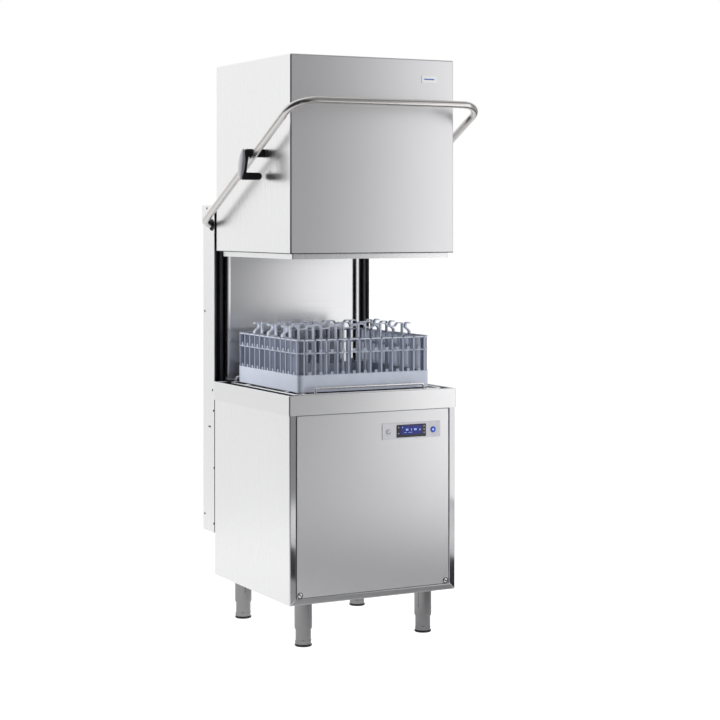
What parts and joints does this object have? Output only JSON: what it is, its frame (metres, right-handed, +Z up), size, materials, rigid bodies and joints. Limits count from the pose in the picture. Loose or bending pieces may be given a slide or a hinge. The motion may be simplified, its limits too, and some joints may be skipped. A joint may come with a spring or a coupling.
{
  "type": "hood glass washer",
  "caption": "Free-standing pass-through glass washer: a lifting hood on a rear column, worked by a pull-down U handle, over a tank cabinet with a rack on a wire guide.",
  "frame": {"origin": "middle of the footprint, on the floor under the feet", "axes": "+X to the machine's right as seen from the front, -Y to the front where the controls are, +Z up"},
  "size_m": [0.7946, 0.8796, 1.986],
  "materials": {
    "side_steel": "very light satin stainless sheet",
    "front_steel": "brushed stainless sheet, fine vertical grain",
    "rim_steel": "brushed stainless sheet, grain along the rim",
    "inner_steel": "pressed stainless sheet inside the machine",
    "tube_steel": "satin stainless round tube",
    "foot_steel": "polished stainless tube",
    "wire_steel": "bright electropolished wire",
    "spring_steel": "plain spring steel",
    "black_plastic": "black moulded plastic",
    "cover_plastic": "silver-grey moulded plastic",
    "natural_plastic": "natural white sliding plastic",
    "control_plastic": "pearl grey moulded plastic",
    "display_plastic": "black gloss window over a dark blue display",
    "blue_plastic": "blue ring button",
    "rack_plastic": "blue-grey polypropylene",
    "motor_paint": "dark painted motor and pump"
  },
  "bodies": {
    "machine": {"side_panel_left": "side_steel", "side_panel_right": "side_steel", "column_plate_left": "side_steel", "column_plate_right": "side_steel", "base_tray": "inner_steel", "front_bottom_rail": "front_steel", "front_panel": "front_steel", "rim_frame": "rim_steel", "wash_tank": "inner_steel", "tank_strainer": "inner_steel", "sump_filter": "rack_plastic", "lower_spindle": "inner_steel", "upper_feed_pipe": "inner_steel", "back_panel": "inner_steel", "column_cover": "side_steel", "guide_rail_left": "black_plastic", "guide_rail_right": "black_plastic", "handle_bearing_left": "black_plastic", "handle_bearing_right": "black_plastic", "lift_spring_left": "spring_steel", "lift_spring_right": "spring_steel", "spring_anchor": "inner_steel", "leg_front_left": "foot_steel", "leg_front_right": "foot_steel", "leg_rear_left": "foot_steel", "leg_rear_right": "foot_steel", "rack_guide": "wire_steel", "control_strip": "control_plastic", "display_window": "display_plastic", "wash_pump": "motor_paint", "rinse_boiler": "inner_steel", "tank_heater": "spring_steel", "drain_pump": "black_plastic", "inlet_valve": "natural_plastic", "control_box": "motor_paint", "mains_gland": "black_plastic"},
    "foot_front_left": {"foot_front_left": "foot_steel"},
    "foot_front_right": {"foot_front_right": "foot_steel"},
    "foot_rear_left": {"foot_rear_left": "foot_steel"},
    "foot_rear_right": {"foot_rear_right": "foot_steel"},
    "power_button": {"power_button": "control_plastic"},
    "start_button": {"start_button": "blue_plastic"},
    "lower_wash_arm": {"lower_wash_arm": "inner_steel"},
    "lower_rinse_arm": {"lower_rinse_arm": "inner_steel"},
    "upper_wash_arm": {"upper_wash_arm": "inner_steel"},
    "upper_rinse_arm": {"upper_rinse_arm": "inner_steel"},
    "panel_lock_left": {"panel_lock_left": "tube_steel"},
    "panel_lock_right": {"panel_lock_right": "tube_steel"},
    "hood": {"hood_shell": "front_steel", "hood_liner": "inner_steel", "hood_shoe_left": "natural_plastic", "link_bracket_left": "black_plastic", "link_cover_left": "cover_plastic", "hood_shoe_right": "natural_plastic", "link_bracket_right": "black_plastic", "link_cover_right": "cover_plastic"},
    "handle": {"handle_tube": "tube_steel", "spring_lever_left": "inner_steel", "spring_lever_right": "inner_steel"},
    "rack": {"rack": "rack_plastic"}
  },
  "joints": [
    {"name": "hood_lift", "type": "slide", "parent": "machine", "child": "hood", "axis": [0, 0, 1], "range_m": [-0.469, 0]},
    {"name": "handle_swing", "type": "hinge", "parent": "machine", "child": "handle", "pos_m": [0, 0.34795, 1.41461], "axis": [1, 0, 0], "range_deg": [0, 57.5], "deforming": ["lift_spring_left", "lift_spring_right"]},
    {"name": "rack_slide", "type": "slide", "parent": "machine", "child": "rack", "axis": [1, 0, 0], "range_m": [-0.66, 0.66]},
    {"name": "lower_wash_arm_spin", "type": "hinge", "parent": "machine", "child": "lower_wash_arm", "pos_m": [0, -0.00305, 0.81], "axis": [0, 0, 1], "continuous": true},
    {"name": "lower_rinse_arm_spin", "type": "hinge", "parent": "machine", "child": "lower_rinse_arm", "pos_m": [0, -0.00305, 0.81], "axis": [0, 0, 1], "continuous": true},
    {"name": "upper_wash_arm_spin", "type": "hinge", "parent": "machine", "child": "upper_wash_arm", "pos_m": [0, -0.00305, 1.32], "axis": [0, 0, 1], "continuous": true},
    {"name": "upper_rinse_arm_spin", "type": "hinge", "parent": "machine", "child": "upper_rinse_arm", "pos_m": [0, -0.00305, 1.32], "axis": [0, 0, 1], "continuous": true},
    {"name": "power_button_press", "type": "slide", "parent": "machine", "child": "power_button", "axis": [0, 1, 0], "range_m": [0, 0.0015], "stiffness_N_per_m": 600},
    {"name": "start_button_press", "type": "slide", "parent": "machine", "child": "start_button", "axis": [0, 1, 0], "range_m": [0, 0.0015], "stiffness_N_per_m": 600},
    {"name": "panel_lock_left_turn", "type": "hinge", "parent": "machine", "child": "panel_lock_left", "pos_m": [-0.2793, -0.30805, 0.1855], "axis": [0, 1, 0], "range_deg": [0, 90]},
    {"name": "panel_lock_right_turn", "type": "hinge", "parent": "machine", "child": "panel_lock_right", "pos_m": [0.2793, -0.30805, 0.1855], "axis": [0, 1, 0], "range_deg": [0, 90]},
    {"name": "foot_front_left_level", "type": "slide", "parent": "machine", "child": "foot_front_left", "axis": [0, 0, 1], "range_m": [-0.03, 0]},
    {"name": "foot_front_right_level", "type": "slide", "parent": "machine", "child": "foot_front_right", "axis": [0, 0, 1], "range_m": [-0.03, 0]},
    {"name": "foot_rear_left_level", "type": "slide", "parent": "machine", "child": "foot_rear_left", "axis": [0, 0, 1], "range_m": [-0.03, 0]},
    {"name": "foot_rear_right_level", "type": "slide", "parent": "machine", "child": "foot_rear_right", "axis": [0, 0, 1], "range_m": [-0.03, 0]}
  ],
  "couplings": [
    {"joint": "handle_swing", "follows": "hood_lift", "rad_per_m": -2.136}
  ]
}
